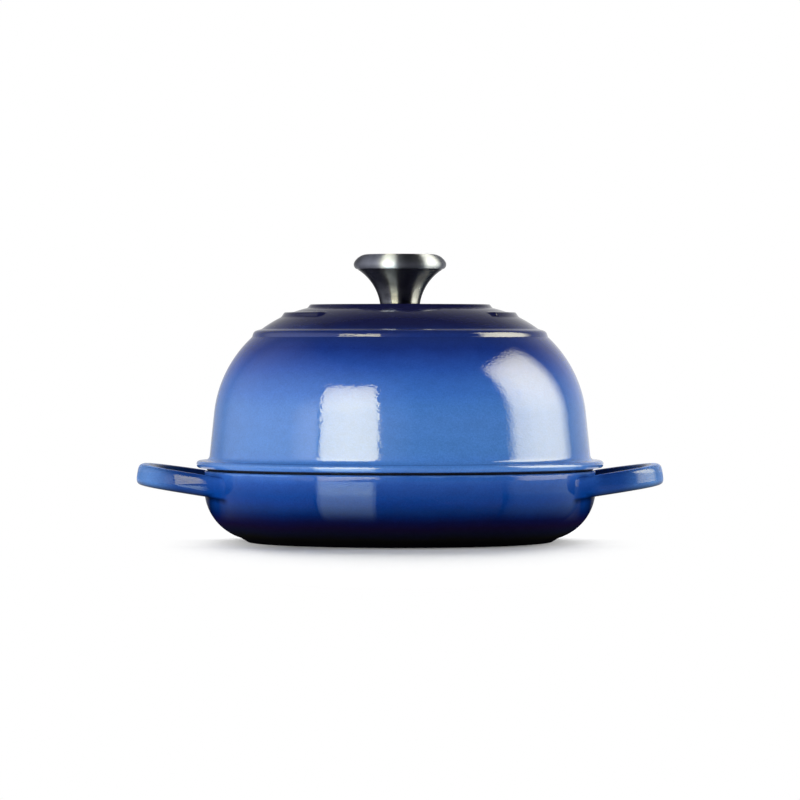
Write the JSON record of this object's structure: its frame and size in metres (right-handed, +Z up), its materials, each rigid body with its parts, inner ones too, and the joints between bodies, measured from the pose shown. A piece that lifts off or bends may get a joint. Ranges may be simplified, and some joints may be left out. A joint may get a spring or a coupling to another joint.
{
  "type": "cast iron bread pot",
  "caption": "Round enamelled cast iron bread pot: a shallow base with loop handles and a tall domed lid that lifts off by a flared steel knob.",
  "frame": {"origin": "middle of the foot ring, on the surface that the pot stands on", "axes": "+Z up along the pot's axis, +X towards the right-hand handle, -Y towards the front"},
  "size_m": [0.3244, 0.2508, 0.177],
  "materials": {
    "base_enamel": "glossy vitreous enamel on cast iron, blue at the rim darkening to near black at the foot",
    "lid_enamel": "glossy vitreous enamel on cast iron, cornflower blue at the flange darkening to navy on the top",
    "knob_steel": "satin turned stainless steel",
    "fixing_steel": "plain stainless steel"
  },
  "bodies": {
    "base": {"base_pan": "base_enamel"},
    "lid": {"domed_lid": "lid_enamel", "knob_stem": "knob_steel", "knob_cap": "knob_steel", "knob_insert": "fixing_steel", "knob_screw": "fixing_steel", "flat_washer": "fixing_steel", "lock_washer": "fixing_steel"}
  },
  "joints": [
    {"name": "lid_lift", "type": "slide", "parent": "base", "child": "lid", "axis": [0, 0, 1], "range_m": [0, 0.12]}
  ]
}
